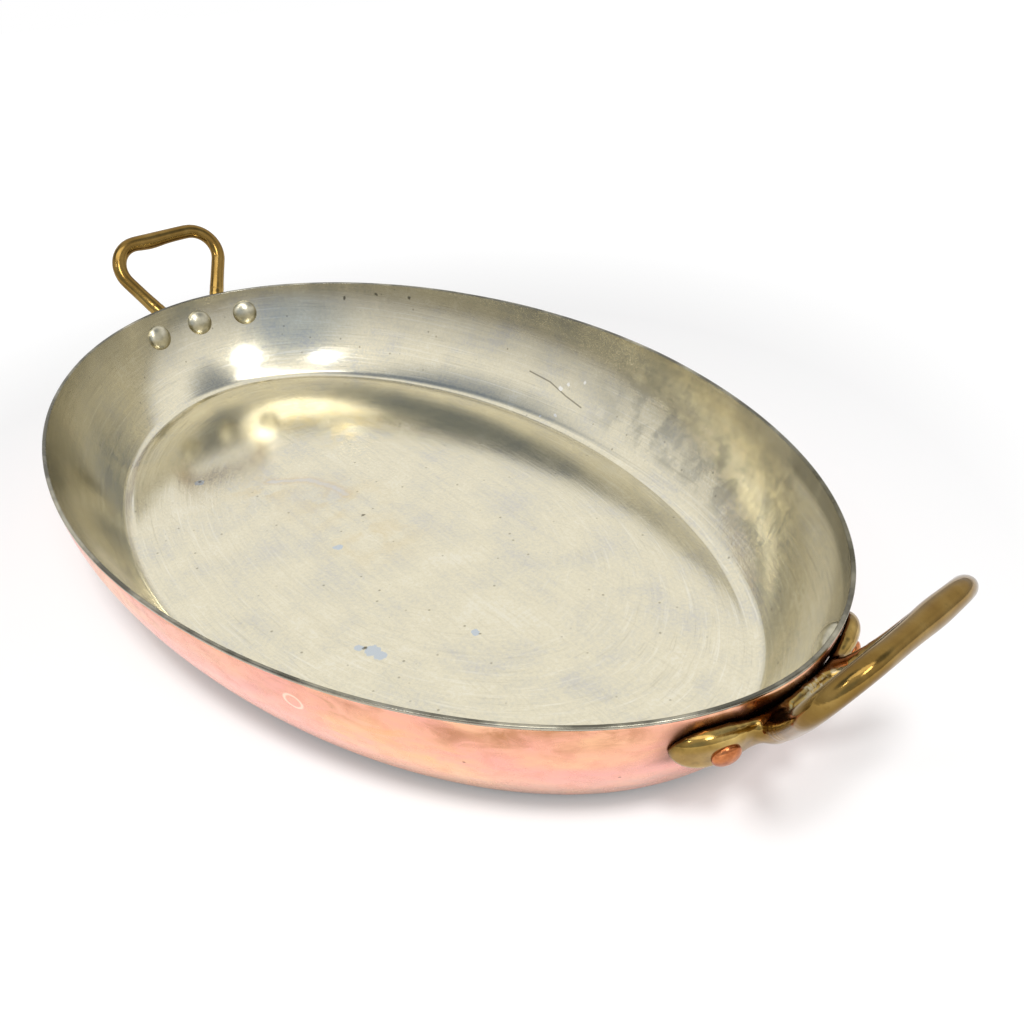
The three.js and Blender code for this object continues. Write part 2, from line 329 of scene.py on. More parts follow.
def makeCopper():
    look = copperFinish
    made, tree, shader, place = newMaterial("polishedCopper", 1.0)
    height = addNode(tree, "SeparateXYZ", None, {0: place}).outputs["Z"]
    drawnOut = addNode(tree, "Mapping", {"Scale": (1.0, 1.0, look["patchStretch"])}, {0: place})
    patches = addNode(tree, "TexNoise", {
        "Scale": 1 / (look["patchSize"] * mm), "Detail": 4.0, "Roughness": rugged, "Distortion": 0.6},
        {"Vector": drawnOut})
    color = addNode(tree, "ValToRGB", {"stops": look["patchColors"]}, {"Fac": patches}).outputs[0]
    mottle = addNode(tree, "TexNoise", {
        "Scale": 1 / (look["mottleSize"] * mm), "Detail": 5.0, "Roughness": rugged}, {"Vector": place})
    mottled = addNode(tree, "MapRange", {1: 0.48, 2: 0.75}, {0: mottle})
    color = tint(tree, color, look["mottleColor"], [mottled], 0.6)
    smears = addNode(tree, "TexNoise", {
        "Scale": 1 / (look["smearSize"] * mm), "Detail": 4.0, "Roughness": rugged, "Distortion": 1.0},
        {"Vector": drawnOut})
    color = layMarks(tree, color, look["marks"], place, place, height, smears)
    x, y, z, radius = look["ring"]
    middle = (x * mm, y * mm, z * mm)
    away = addNode(tree, "VectorMath", {"operation": "DISTANCE", 1: middle}, {0: place}).outputs["Value"]
    offRing = addNode(tree, "Math", {"operation": "SUBTRACT", 1: radius * mm}, {0: away})
    offRing = addNode(tree, "Math", {"operation": "ABSOLUTE"}, {0: offRing})
    onRing = addNode(tree, "MapRange", {1: 0.2 * mm, 2: 0.6 * mm, 3: 0.8, 4: 0.0}, {0: offRing})
    color = tint(tree, color, look["ringColor"], [onRing])
    # pits, painted shade along the bottom edge, and painted shade round the handles
    cells = addNode(tree, "TexVoronoi", {"Scale": 1 / (look["pitSpacing"] * mm)}, {"Vector": place})
    pits = addNode(tree, "MapRange", {1: 0.035, 2: 0.06, 3: 0.7, 4: 0.0}, {0: cells.outputs["Distance"]})
    color = tint(tree, color, look["pitColor"], [pits])
    # painted contact shade along the bottom edge, where the pan meets the floor
    low, high = look["bottomShadeHeights"]
    bottomShade = addNode(tree, "MapRange", {1: low * mm, 2: high * mm, 3: 0.85, 4: 0.0}, {0: height})
    color = tint(tree, color, look["bottomShadeColor"], [bottomShade])
    # painted shade on the copper round and behind the handles' feet
    grime = addNode(tree, "Attribute", {"attribute_name": "grime"}).outputs["Fac"]
    color = tint(tree, color, look["paintedShadeColor"], [grime])
    tree.links.new(color, shader.inputs["Base Color"])
    smooth, rough = look["roughness"]
    satin = addNode(tree, "MapRange", {1: 0.3, 2: 0.7, 3: smooth, 4: rough}, {0: mottle})
    tree.links.new(satin.outputs[0], shader.inputs["Roughness"])
    return made


smearPoints = [(-57.8, -26.3, 1.3), (-48.1, -13.9, 1.3), (-35.6, -8.9, 1.3), (-27, -8, 1.3)]


# Wiped tin: melted on and wiped round with a cloth, so it is satin with drawn streaks and stays cream-grey
tinFinish = {
    "toneColors": [(0.38, "#D2CEC2"), (0.46, "#DDD7C2"), (0.54, "#E6DEC4"), (0.62, "#EBE5D0")],
    "roughness": (0.125, 0.19),
    "tarnishRoughness": 0.14,  # added where it is tarnished
    "strokeOval": (151.6, 85.6),  # half length and width of the oval that the strokes follow
    "strokeSize": 3.0,  # cloth strokes, this many millimetres apart
    "strokeTurn": 24.0,
    "strokeStretch": 27.0,
    "strokeWaves": (3.0, 40.0, 3.0),  # along the oval, across it, and millimetres up the wall
    "cloudSize": 24.0,
    "grainSize": 1.3,
    # finer on the real one, drawn about a millimetre apart so that they show
    "hairWaves": (4.0, 110.0, 1.2),
    "hairPale": ("#F6F2E2", 0.5),
    "hairDark": ("#857F6C", 0.22),
    # a few scratches half a millimetre wide, several ways across the floor: turn, color
    "scratches": [(24, "#F0EBDA"), (-38, "#BDB6A0"), (65, "#C4BDA6")],
    "scratchSize": 0.9,
    "scratchStretch": 22.0,
    "scratchAmount": 0.14,
    # grey up the wall, and nearly black-olive along the top of the rim
    "tarnishSize": 20.0,
    "wallHeights": (12.0, 42.0),
    "wallColor": "#75736A",
    "rimHeights": (42.3, 42.8),
    "rimColor": "#57544A",
    "dullSize": 11.0,
    "speckSpacing": 5.0,  # specks up to a millimetre wide in two cells out of five
    "speckColor": "#7E7763",
    "ragged": 3.0,
    "rippleSize": 2.6,  # where the wiping cloth dragged
    "ripples": [(104, 73, 13, 26), (66, 86, 11, 18)],
    "relief": 0.3,
    # patches of the wall: spots are x, y, z, radius
    "dulled": [
        {"color": "#85877F", "amount": 0.5, "clouds": (0.44, 0.58), "heights": (6, 9), "core": 0.1,
         "spots": [(40, 94, 18, 44), (78, 84, 18, 40), (108, 74, 24, 30)]},
        {"color": "#4F4B35", "amount": 0.6, "heights": (35.5, 38), "core": 0.4,
         "spots": [(141, 60, 41, 26), (155, 45, 41, 24), (124, 74, 41, 18)]},
        {"color": "#6C6A5A", "amount": 0.3, "heights": (4, 14), "core": 0.1,
         "spots": [(-120, -70, 26, 56), (-88, -86, 26, 44)]},
    ],
    "marks": [
        # a wiped smear, brownish at its edges
        {"color": "#C9AE93", "amount": 0.28, "torn": True, "halfWidth": 3.4, "line": smearPoints},
        {"color": "#D3D6D9", "amount": 0.5, "torn": True, "halfWidth": 1.6, "line": smearPoints},
        # a painted reflection, the golden glow of the wall's highlights mirrored in the floor; then yellowish
        # patches on the floor
        {"color": "#F0DA9C", "amount": 0.5, "clouds": (0.44, 0.58), "core": 0.0,
         "spots": [(-100, 14, 1.3, 26), (-76, 22, 1.3, 22)]},
        {"color": "#D6BE8A", "amount": 0.35, "clouds": (0.44, 0.58), "core": 0.0,
         "spots": [(-24, -14, 1.3, 26), (6, -16, 1.3, 24), (-52, -30, 1.3, 20)]},
        # bare blots, then pits
        {"color": "#C6CDD2", "amount": 1.0, "torn": True, "core": 0.85,
         "spots": [(59.0, -49.6, 1.3, 2.6), (62.5, -49.0, 1.3, 2.2), (55.0, -52.0, 1.3, 1.7),
                   (2.8, -29.5, 1.3, 1.9), (73.8, -21.0, 1.3, 1.6), (-78.2, -48.0, 1.3, 2.2)]},
        {"color": "#4D4838", "amount": 0.85, "torn": True, "core": 0.5,
         "spots": [(56.4, -50.8, 1.3, 0.9), (-79.0, -47.4, 1.3, 0.8), (75.4, -20.2, 1.3, 0.6),
                   (-9.2, -11.1, 1.3, 1.0), (-137.4, 62.5, 35.6, 0.8), (-124.2, 72.7, 37.7, 1.0),
                   (-108.0, 81.9, 37.4, 1.0)]},
        # a crack with white flakes
        {"color": "#5A5442", "amount": 0.65, "halfWidth": 0.45,
         "line": [(-35.8, 96.4, 16.8), (-22.9, 97.2, 15.4), (-11.7, 96.2, 12.6), (-1.1, 95.5, 10.9)]},
        {"color": "#F6F4EC", "amount": 1.0, "torn": True, "core": 0.7,
         "spots": [(-16.2, 97.3, 14.7, 1.3), (-13.0, 98.7, 16.8, 1.1), (-4.3, 100.6, 19.8, 0.9),
                   (-20.1, 88.0, 2.8, 1.0), (-12.9, 90.6, 5.0, 0.9)]},
    ],
}


def roundThePan(tree, flat, height, along, across, climb):
    # coordinates that run along the oval, across it, and up the wall once every climb millimetres
    ring = addNode(tree, "VectorMath", {"operation": "LENGTH"}, {0: flat}).outputs["Value"]
    heading = addNode(tree, "VectorMath", {"operation": "NORMALIZE"}, {0: flat})
    wide = addNode(tree, "VectorMath", {"operation": "SCALE", "Scale": along}, {0: heading})
    rise = addNode(tree, "Math", {"operation": "DIVIDE", 1: climb * mm}, {0: height})
    outward = addNode(tree, "Math", {"operation": "MULTIPLY_ADD", 1: across}, {0: ring, 2: rise})
    lift = addNode(tree, "CombineXYZ", None, {"Z": outward})
    return addNode(tree, "VectorMath", {"operation": "ADD"}, {0: wide, 1: lift})


def makeTin():
    look = tinFinish
    made, tree, shader, place = newMaterial("wipedTin", 1.0)
    height = addNode(tree, "SeparateXYZ", None, {0: place}).outputs["Z"]
    # long cloth strokes over the middle, which follow the oval near its edge and up the wall
    slanted = addNode(tree, "Mapping", {
        "Rotation": (0.0, 0.0, math.radians(look["strokeTurn"])),
        "Scale": (1 / look["strokeStretch"], 1.0, 0.1)}, {0: place})
    strokes = addNode(tree, "TexNoise", {
        "Scale": 1 / (look["strokeSize"] * mm), "Detail": 4.0, "Roughness": rugged}, {"Vector": slanted})
    halfLength, halfWidth = look["strokeOval"]
    flat = addNode(tree, "Mapping", {"Scale": (1 / (halfLength * mm), 1 / (halfWidth * mm), 0.0)}, {0: place})
    rings = addNode(tree, "TexNoise", {"Scale": 1.0, "Detail": 4.0, "Roughness": 0.6},
                    {"Vector": roundThePan(tree, flat, height, *look["strokeWaves"])})
    ring = addNode(tree, "VectorMath", {"operation": "LENGTH"}, {0: flat}).outputs["Value"]
    byEdge = addNode(tree, "MapRange", {1: 0.5, 2: 0.85}, {0: ring})
    streaks = addNode(tree, "Mix", {"data_type": "FLOAT"}, {0: byEdge, 2: strokes, 3: rings})
    clouds = addNode(tree, "TexNoise", {
        "Scale": 1 / (look["cloudSize"] * mm), "Detail": 6.0, "Roughness": rugged, "Distortion": 0.4},
        {"Vector": place})
    grain = addNode(tree, "TexNoise", {
        "Scale": 1 / (look["grainSize"] * mm), "Detail": 2.0, "Roughness": rugged}, {"Vector": place})
    tone = addNode(tree, "Mix", {"data_type": "FLOAT", 0: 0.3}, {2: clouds, 3: streaks})
    tone = addNode(tree, "Mix", {"data_type": "FLOAT", 0: 0.28}, {2: tone, 3: grain})
    color = addNode(tree, "ValToRGB", {"stops": look["toneColors"]}, {"Fac": tone}).outputs[0]
    # hair scratches round the pan, more of them toward its edge
    hair = addNode(tree, "TexNoise", {"Scale": 1.0, "Detail": 3.0, "Roughness": 0.65, "Distortion": 0.3},
                   {"Vector": roundThePan(tree, flat, height, *look["hairWaves"])})
    outward = addNode(tree, "MapRange", {1: 0.3, 2: 0.95, 3: 0.15, 4: 1.0}, {0: ring})
    shade, amount = look["hairPale"]
    pale = addNode(tree, "MapRange", {1: 0.56, 2: 0.70}, {0: hair})
    color = tint(tree, color, shade, [pale, outward], amount)
    shade, amount = look["hairDark"]
    dark = addNode(tree, "MapRange", {1: 0.28, 2: 0.42, 3: 1.0, 4: 0.0}, {0: hair})
    color = tint(tree, color, shade, [dark, outward], amount)
    onFloor = addNode(tree, "MapRange", {1: 2 * mm, 2: 4 * mm, 3: 1.0, 4: 0.0}, {0: height})
    for turn, shade in look["scratches"]:
        drawn = addNode(tree, "Mapping", {
            "Rotation": (0.0, 0.0, math.radians(turn)),
            "Scale": (1 / look["scratchStretch"], 1.0, 1.0)}, {0: place})
        lines = addNode(tree, "TexNoise", {
            "Scale": 1 / (look["scratchSize"] * mm), "Detail": 1.0, "Roughness": rugged, "Distortion": 0.6},
            {"Vector": drawn})
        scratch = addNode(tree, "MapRange", {1: 0.62, 2: 0.74}, {0: lines})
        color = tint(tree, color, shade, [scratch, onFloor], look["scratchAmount"])
    # tarnish up the wall and along the rim
    blots = addNode(tree, "TexNoise", {
        "Scale": 1 / (look["tarnishSize"] * mm), "Detail": 6.0, "Roughness": rugged}, {"Vector": place})
    low, high = look["wallHeights"]
    upWall = addNode(tree, "MapRange", {1: low * mm, 2: high * mm}, {0: height})
    uneven = addNode(tree, "MapRange", {1: 0.3, 2: 0.7, 3: 0.28, 4: 0.56}, {0: blots})
    wallTarnish = addNode(tree, "Math", {"operation": "MULTIPLY"}, {0: upWall, 1: uneven})
    low, high = look["rimHeights"]
    atRim = addNode(tree, "MapRange", {1: low * mm, 2: high * mm}, {0: height})
    uneven = addNode(tree, "MapRange", {1: 0.38, 2: 0.56, 3: 0.3, 4: 0.9}, {0: blots})
    rimTarnish = addNode(tree, "Math", {"operation": "MULTIPLY"}, {0: atRim, 1: uneven})
    color = tint(tree, color, look["wallColor"], [wallTarnish])
    color = tint(tree, color, look["rimColor"], [rimTarnish])
    dull = addNode(tree, "TexNoise", {
        "Scale": 1 / (look["dullSize"] * mm), "Detail": 6.0, "Roughness": rugged, "Distortion": 0.5},
        {"Vector": place})
    color = layMarks(tree, color, look["dulled"], place, place, height, dull)
    cells = addNode(tree, "TexVoronoi", {"Scale": 1 / (look["speckSpacing"] * mm)}, {"Vector": place})
    specks = addNode(tree, "MapRange", {1: 0.05, 2: 0.12, 3: 1.0, 4: 0.0}, {0: cells.outputs["Distance"]})
    cellNumber = addNode(tree, "SeparateXYZ", None, {0: cells.outputs["Color"]}).outputs["X"]
    chosen = addNode(tree, "MapRange", {1: 0.58, 2: 0.64}, {0: cellNumber})
    color = tint(tree, color, look["speckColor"], [specks, chosen], 0.6)
    # coordinates shaken by a noise, for marks with ragged edges
    size = look["ragged"] * mm
    shaken = addNode(tree, "TexNoise", {"Scale": 1 / size, "Detail": 3.0, "Roughness": rugged},
                     {"Vector": place})
    shift = addNode(tree, "VectorMath", {"operation": "MULTIPLY_ADD", 1: (size,) * 3, 2: (-size / 2,) * 3},
                    {0: shaken.outputs["Color"]})
    torn = addNode(tree, "VectorMath", {"operation": "ADD"}, {0: place, 1: shift})
    color = layMarks(tree, color, look["marks"], place, torn, height, dull)
    tree.links.new(color, shader.inputs["Base Color"])
    smooth, rough = look["roughness"]
    satin = addNode(tree, "MapRange", {1: 0.38, 2: 0.62, 3: smooth, 4: rough}, {0: tone})
    tarnish = addNode(tree, "Math", {"operation": "MAXIMUM"}, {0: wallTarnish, 1: rimTarnish})
    satin = addNode(tree, "Math", {"operation": "MULTIPLY_ADD", 1: look["tarnishRoughness"]},
                    {0: tarnish, 2: satin})
    tree.links.new(satin.outputs[0], shader.inputs["Roughness"])
    # ripples a few millimetres apart, with the hair scratches over them
    dragged = addNode(tree, "Mapping", {"Scale": (1.0, 1.0, 0.4)}, {0: place})
    swell = addNode(tree, "TexNoise", {
        "Scale": 1 / (look["rippleSize"] * mm), "Detail": 3.0, "Roughness": rugged, "Distortion": 0.8},
        {"Vector": dragged})
    rippled = addNode(tree, "MapRange", {3: 0.01, 4: 0.32}, {0: spotMask(tree, place, look["ripples"], 0.1)})
    relief = look["relief"] * mm
    waves = addNode(tree, "Bump", {"Distance": relief}, {"Height": swell, "Strength": rippled})
    scored = addNode(tree, "Bump", {"Strength": 0.05, "Distance": relief}, {"Height": hair, "Normal": waves})
    tree.links.new(scored.outputs[0], shader.inputs["Normal"])
    # wiped sideways on the wall, so glints there stretch up and down
    wiped = addNode(tree, "MapRange", {1: 3 * mm, 2: 9 * mm, 4: 0.4}, {0: height})
    tree.links.new(wiped.outputs[0], shader.inputs["Anisotropic"])
    sideways = addNode(tree, "Tangent", {"direction_type": "RADIAL", "axis": "Z"})
    tree.links.new(sideways.outputs[0], shader.inputs["Tangent"])
    return made


# Cast brass: sand-cast, filed and polished, greener in its hollows where polish never reaches, with painted
# shade where it meets the copper
brassFinish = {
    "cloudSize": 9.0,
    "cloudColors": [(0.3, "#836735"), (0.52, "#A5884B"), (0.75, "#C4A868")],
    "loopColor": "#74582A",  # the loop is browner than the foot, from hands and heat
    "loopHeights": (37.0, 50.0),
    "fineSize": 2.0,
    "fineColor": "#5E4A20",
    # painted shade where the casting comes close to the copper wall
    "paintedShadeColor": "#4A3B1C",
    # white polish and green bloom left in the near handle's corner: x, y, z, radius
    "polish": [(177.5, 3, 38, 8)],
    "polishColor": "#E3DFC8",
    "polishRoughness": 0.3,
    "bloom": [(175, -6, 38, 6)],
    "bloomColor": "#8FA08A",
    "roughness": (0.12, 0.20),
}


def makeBrass():
    look = brassFinish
    made, tree, shader, place = newMaterial("castBrass", 1.0)
    clouds = addNode(tree, "TexNoise", {
        "Scale": 1 / (look["cloudSize"] * mm), "Detail": 4.0, "Roughness": rugged}, {"Vector": place})
    color = addNode(tree, "ValToRGB", {"stops": look["cloudColors"]}, {"Fac": clouds}).outputs[0]
    height = addNode(tree, "SeparateXYZ", None, {0: place}).outputs["Z"]
    low, high = look["loopHeights"]
    onLoop = addNode(tree, "MapRange", {1: low * mm, 2: high * mm}, {0: height})
    color = tint(tree, color, look["loopColor"], [onLoop], 0.65)
    fine = addNode(tree, "TexNoise", {
        "Scale": 1 / (look["fineSize"] * mm), "Detail": 4.0, "Roughness": rugged}, {"Vector": place})
    flecks = addNode(tree, "MapRange", {1: 0.55, 2: 0.75}, {0: fine})
    color = tint(tree, color, look["fineColor"], [flecks], 0.35)
    # painted shade where the casting meets the copper wall
    grime = addNode(tree, "Attribute", {"attribute_name": "grime"}).outputs["Fac"]
    color = tint(tree, color, look["paintedShadeColor"], [grime])
    corner = spotMask(tree, place, look["polish"], 0.2)
    crumbs = addNode(tree, "MapRange", {1: 0.50, 2: 0.60}, {0: fine})
    polish = addNode(tree, "Math", {"operation": "MULTIPLY"}, {0: corner, 1: crumbs})
    color = tint(tree, color, look["polishColor"], [polish], 0.75)
    corner = spotMask(tree, place, look["bloom"], 0.2)
    crumbs = addNode(tree, "MapRange", {1: 0.46, 2: 0.58}, {0: fine})
    color = tint(tree, color, look["bloomColor"], [corner, crumbs], 0.6)
    tree.links.new(color, shader.inputs["Base Color"])
    smooth, rough = look["roughness"]
    satin = addNode(tree, "MapRange", {1: 0.3, 2: 0.7, 3: smooth, 4: rough}, {0: clouds})
    satin = addNode(tree, "Math", {"operation": "MULTIPLY_ADD", 1: look["polishRoughness"]},
                    {0: polish, 2: satin})
    tree.links.new(satin.outputs[0], shader.inputs["Roughness"])
    return made


# Peened copper: the shank's end hammered over, browner than the body because it is never rubbed
peenedFinish = {
    "name": "peenedCopper",
    "dentSize": 2.5,
    "dentDetail": 2.0,
    "colors": [(0.3, "#96532F"), (0.65, "#CC8252")],
    "bump": 0.3,
    "roughness": 0.25,
}
# Tinned heads: forged domes that the tinning only skimmed, so they are satin and greyer than the wall
tinnedFinish = {
    "name": "tinnedForgedCopper",
    "dentSize": 3.0,
    "dentDetail": 3.0,
    "colors": [(0.35, "#B4AE97"), (0.62, "#D0CAB4")],
    "bump": 0.12,
    "roughness": 0.28,
}
dentDepth = 0.3  # millimetres


def makeForged(look):
    made, tree, shader, place = newMaterial(look["name"], 1.0)
    dents = addNode(tree, "TexNoise", {
        "Scale": 1 / (look["dentSize"] * mm), "Detail": look["dentDetail"], "Roughness": rugged},
        {"Vector": place})
    color = addNode(tree, "ValToRGB", {"stops": look["colors"]}, {"Fac": dents})
    tree.links.new(color.outputs[0], shader.inputs["Base Color"])
    bump = addNode(tree, "Bump", {"Strength": look["bump"], "Distance": dentDepth * mm}, {"Height": dents})
    tree.links.new(bump.outputs[0], shader.inputs["Normal"])
    shader.inputs["Roughness"].default_value = look["roughness"]
    return made


copper = makeCopper()
tin = makeTin()
brass = makeBrass()
peened = makeForged(peenedFinish)
tinnedHead = makeForged(tinnedFinish)
print("materials made")


# painted shade, with the dark of the brass it mirrors, on the copper round and behind each handle's foot, in
# millimetres
handleShadeBand = {
    "endStart": 120.0,  # how far along the pan it starts, and over how much it grows
    "endFade": 25.0,
    "halfSpan": 37.0,
    "sideFade": 5.0,
    "bottom": 24.0,
    "top": 42.0,
    "edgeFade": 3.0,
    "most": 0.7,
}


def shadeByHandle(point):
    alongEnd = between((abs(point.x) - handleShadeBand["endStart"]) / handleShadeBand["endFade"], 0.0, 1.0)
    beside = between((handleShadeBand["halfSpan"] - abs(point.y)) / handleShadeBand["sideFade"], 0.0, 1.0)
    fromEdge = min(point.z - handleShadeBand["bottom"], handleShadeBand["top"] - point.z)
    return alongEnd * beside * between(fromEdge / handleShadeBand["edgeFade"], 0.0, 1.0) * handleShadeBand["most"]


# Copper body: outside from the middle up to under the rim, then back down its inner face
def makeCopperBody():
    outside = floorSection(0.0, pan["undersideSteps"]) + bendSection(0.0, pan["bendSteps"])
    outside += wallSection(0.0, copperTop, pan["wallSteps"])
    bm = ovalShell(outside + joinSection()[::-1])
    # painted shade on the copper behind the handles' feet, kept on each vertex
    grime = bm.verts.layers.float.new("grime")
    for vert in bm.verts:
        vert[grime] = shadeByHandle(vert.co)
    handWork(bm)
    return addPiece(bm, "copperBody", [copper], "copper_body")


# Tin lining: the wiped inside, over the rim, with a thin lip on the outside; its back lies on the copper
lining = {
    "rimRound": 0.5,
    "rimBulge": 0.1,
    "rimSteps": 12,
    "lip": 0.3,
    "lipStand": 0.04,  # how far the lip stands out from the copper, and how far its back sinks in
    "lipSink": 0.02,
}


def makeTinLining():
    half = wallThickness / 2
    rimStart = pan["height"] - lining["rimRound"]
    lipEnd = rimStart - lining["lip"]
    face = floorSection(wallThickness, pan["floorSteps"]) + bendSection(wallThickness, pan["bendSteps"])
    face += wallSection(wallThickness, rimStart, pan["wallSteps"])
    for i in range(1, lining["rimSteps"]):  # half round over the rim
        turn = math.pi * i / lining["rimSteps"]
        depth = half + (half + lining["lipStand"]) * math.cos(turn)
        inset = wallInset(depth, rimStart) - math.sin(turn) * lining["rimBulge"]
        face.append((inset, rimStart + lining["rimRound"] * math.sin(turn)))
    face += [(wallInset(-lining["lipStand"], z), z) for z in (rimStart, (rimStart + lipEnd) / 2, lipEnd)]
    back = [(wallInset(lining["lipSink"], z), z) for z in (lipEnd, copperTop)]
    bm = ovalShell(face + back + joinSection()[::-1])
    handWork(bm)
    return addPiece(bm, "tinLining", [tin], "tin_lining")


# Handle casting: a foot bent along the wall and a round bar looped from it, run together as one casting
handle = {
    "rivetDrop": 11.5,
    "rivetPitch": 22.4,
    "footHalfSpan": 33.5,
    "footHalfHeight": 6.4,
    "footRise": 0.4,
    "footThickness": 4.4,
    "footSeat": 0.1,  # off the copper
    "footEdge": 2.9,
    "footEdgeSteps": 8,
    "footCuts": 90,
    "footEndLength": 8.0,
    "footEndShare": 0.18,  # what is left of its height at the very end
    "neckAcross": 15.0,  # the foot is drawn in between its lobes and the legs
    "neckLength": 4.5,
    "neckShare": 0.16,
    "loopTilt": 62.8,
    "loopRise": 2.4,
    "legSpread": 26.0,
    "legSteps": 30,
    "gripReach": 40.4,
    "gripSteps": 12,
    "cornerRadius": 11.5,
    "cornerSteps": 24,
    "barRadius": 3.3,
    "barFlat": 0.83,  # the bar is a little flat, thinner out of the loop's plane
    "barSides": 32,
    "rootDepth": 2.5,
    "rootFlare": 1.7,
    "rootTuck": 1.6,
    "rootBlend": 10.0,
    "gripSwell": 0.9,
    "gripSwellLength": 7.0,
    "gripSwellShift": 6.0,
    "voxel": 0.42,
    "smoothing": [(60.0, 10), (12.0, 26), (9.5, 34), (7.0, 40)],  # reach from a leg's root, times
    "shadeReach": 2.2,  # painted shade on the casting this near to the wall
    "shadeFade": 2.0,
    "shadeMost": 0.65,
}
rivetHeight = pan["height"] - handle["rivetDrop"]
rivetInset = wallInset(0.0, rivetHeight)
lean = math.asin((centreHeight - rivetHeight) / wallRadius)


def onWall(across, up, out):
    # across the pan, up the slope from the rivet row, out from the copper
    share = between(across / (pan["halfWidth"] - rivetInset), -1.0, 1.0)
    angle = math.asin(signedPower(share, pan["fullness"] / 2))
    inset = rivetInset - up * math.sin(lean) - out * math.cos(lean)
    length, width = ringSize(inset)
    power = 2 / pan["fullness"]
    return Vector((length * signedPower(math.cos(angle), power), width * signedPower(math.sin(angle), power),
                   rivetHeight + up * math.cos(lean) - out * math.sin(lean)))


def isLengthwise(edge):
    return abs(edge.verts[0].co.x - edge.verts[1].co.x) > 1


def addFoot(bm):
    # a plain bar: across, up, out; outer long edges rounded, cut along its length, then bent on the wall
    thickness = handle["footThickness"]
    made = bmesh.ops.create_cube(bm, size=1.0)["verts"]
    bmesh.ops.scale(bm, vec=(2.0, handle["footHalfHeight"] * 2, thickness), verts=made)
    bmesh.ops.translate(bm, vec=(0.0, 0.0, thickness / 2), verts=made)
    outer = [e for e in bm.edges if isLengthwise(e) and e.verts[0].co.z > thickness / 2]
    bmesh.ops.bevel(bm, geom=outer, offset=handle["footEdge"], offset_type="OFFSET", affect="EDGES",
                    segments=handle["footEdgeSteps"], profile=0.5, material=-1)
    lengthwise = [e for e in bm.edges if isLengthwise(e)]
    bmesh.ops.subdivide_edges(bm, edges=lengthwise, cuts=handle["footCuts"], use_grid_fill=True)
    endStart = handle["footHalfSpan"] - handle["footEndLength"]
    for vert in bm.verts:
        across = handle["footHalfSpan"] * math.sin(vert.co.x * math.pi / 2)
        past = between((abs(across) - endStart) / handle["footEndLength"], 0.0, 1.0)
        fromNeck = (abs(across) - handle["neckAcross"]) / handle["neckLength"]
        share = max(handle["footEndShare"], math.sqrt(1 - past ** 2))
        share *= 1 - handle["neckShare"] * math.exp(-fromNeck ** 2)
        up = handle["footRise"] + vert.co.y * share
        out = handle["footSeat"] + vert.co.z * share
        vert.co = onWall(across, up, out)


def loopPath():
    # the bar's centre line in its own plane: across the pan, then up from the root to the grip
    spread = math.radians(handle["legSpread"])
    radius = handle["cornerRadius"]
    legSteps, cornerSteps, gripSteps = handle["legSteps"], handle["cornerSteps"], handle["gripSteps"]
    centreReach = handle["gripReach"] - radius
    rootHalf = handle["rivetPitch"] / 2
    centreAcross = rootHalf + centreReach * math.tan(spread) - radius / math.cos(spread)
    half = [Vector((rootHalf - handle["rootDepth"] * math.tan(spread), -handle["rootDepth"]))]
    legTop = Vector((centreAcross + radius * math.cos(spread), centreReach - radius * math.sin(spread)))
    half += [half[0].lerp(legTop, i / legSteps) for i in range(1, legSteps + 1)]
    for i in range(1, cornerSteps + 1):
        turn = -spread + (math.pi / 2 + spread) * i / cornerSteps
        half.append(Vector((centreAcross + radius * math.cos(turn), centreReach + radius * math.sin(turn))))
    gripEnd = half[-1].copy()
    half += [gripEnd.lerp(Vector((0.0, gripEnd.y)), i / gripSteps) for i in range(1, gripSteps + 1)]
    return half + [Vector((-p.x, p.y)) for p in half[-2::-1]]


def addLoop(bm):
    path = loopPath()
    steps = [0.0]
    for a, b in zip(path, path[1:]):
        steps.append(steps[-1] + (b - a).length)
    tilt = math.radians(handle["loopTilt"])
    root = onWall(0.0, handle["loopRise"], handle["footThickness"])
    plane = Matrix(((0.0, math.cos(tilt), math.sin(tilt), root.x), (1.0, 0.0, 0.0, root.y),
                    (0.0, math.sin(tilt), -math.cos(tilt), root.z), (0.0, 0.0, 0.0, 1.0)))
    verts = bmesh.ops.create_circle(bm, segments=handle["barSides"], radius=1.0, cap_ends=True)["verts"]
    edges = list({e for v in verts for e in v.link_edges})
    was = Matrix()
    for i, point in enumerate(path):
        before, after = path[max(0, i - 1)], path[min(len(path) - 1, i + 1)]
        heading = (after - before).normalized()
        fromRoot = min(steps[i], steps[-1] - steps[i])
        fromMiddle = steps[i] - steps[-1] / 2 + handle["gripSwellShift"]
        blend = math.exp(-(fromRoot / handle["rootBlend"]) ** 2)
        swell = handle["gripSwell"] * math.exp(-(fromMiddle / handle["gripSwellLength"]) ** 2)
        radius = handle["barRadius"] + handle["rootFlare"] * blend + swell / 2
        # ring's own axes: inward of the loop, out of its plane, along the bar
        inward = Vector((-heading.y, heading.x))
        centre = point + inward * swell / 2
        ring = Matrix(((inward.x * radius, 0.0, heading.x, centre.x),
                       (inward.y * radius, 0.0, heading.y, centre.y),
                       (0.0, radius * handle["barFlat"], 0.0, handle["rootTuck"] * -blend),
                       (0.0, 0.0, 0.0, 1.0)))
        now = plane @ ring
        if i:
            made = bmesh.ops.extrude_edge_only(bm, edges=edges)["geom"]
            verts = [g for g in made if isinstance(g, bmesh.types.BMVert)]
            edges = [g for g in made if isinstance(g, bmesh.types.BMEdge)]
        bmesh.ops.transform(bm, matrix=now @ was.inverted(), verts=verts)
        was = now
    bmesh.ops.contextual_create(bm, geom=edges)


